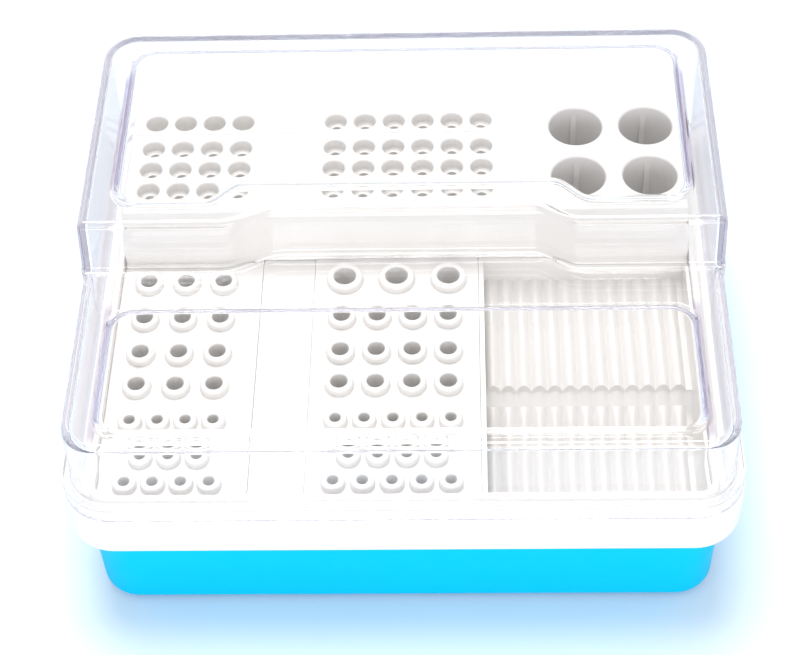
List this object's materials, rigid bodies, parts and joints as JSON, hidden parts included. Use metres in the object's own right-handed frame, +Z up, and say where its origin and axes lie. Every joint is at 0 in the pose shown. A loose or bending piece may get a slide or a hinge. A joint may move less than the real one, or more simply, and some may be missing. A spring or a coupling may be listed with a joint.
{
  "type": "test tube rack",
  "caption": "Bench-top test tube rack: blue base tray, white rack with stepped decks of wells, and a clear stepped lift-off cover.",
  "frame": {"origin": "centre of the underside of the feet, on the bench", "axes": "+X right along the longest side, +Y towards the high rear deck, +Z up"},
  "size_m": [0.2008, 0.165, 0.0978],
  "materials": {
    "white_rack": "gloss white",
    "blue_base": "satin cyan blue",
    "clear_cover": "clear polished plastic",
    "feet": "dark grey rubber"
  },
  "bodies": {
    "base": {"base_tray": "blue_base", "foot_front_left": "feet", "foot_front_right": "feet", "foot_rear_left": "feet", "foot_rear_right": "feet"},
    "rack": {"rack_frame": "white_rack", "rear_deck": "white_rack", "tube_cup_front_left": "white_rack", "tube_cup_front_right": "white_rack", "tube_cup_rear_left": "white_rack", "tube_cup_rear_right": "white_rack", "front_left_block": "white_rack", "centre_strip": "white_rack", "front_centre_block": "white_rack", "ribbed_tray": "white_rack"},
    "cover": {"clear_cover": "clear_cover"}
  },
  "joints": [
    {"name": "rack_lift", "type": "slide", "parent": "base", "child": "rack", "axis": [0, 0, 1], "range_m": [0, 0.045]},
    {"name": "cover_lift", "type": "slide", "parent": "rack", "child": "cover", "axis": [0, 0, 1], "range_m": [0, 0.045]}
  ]
}
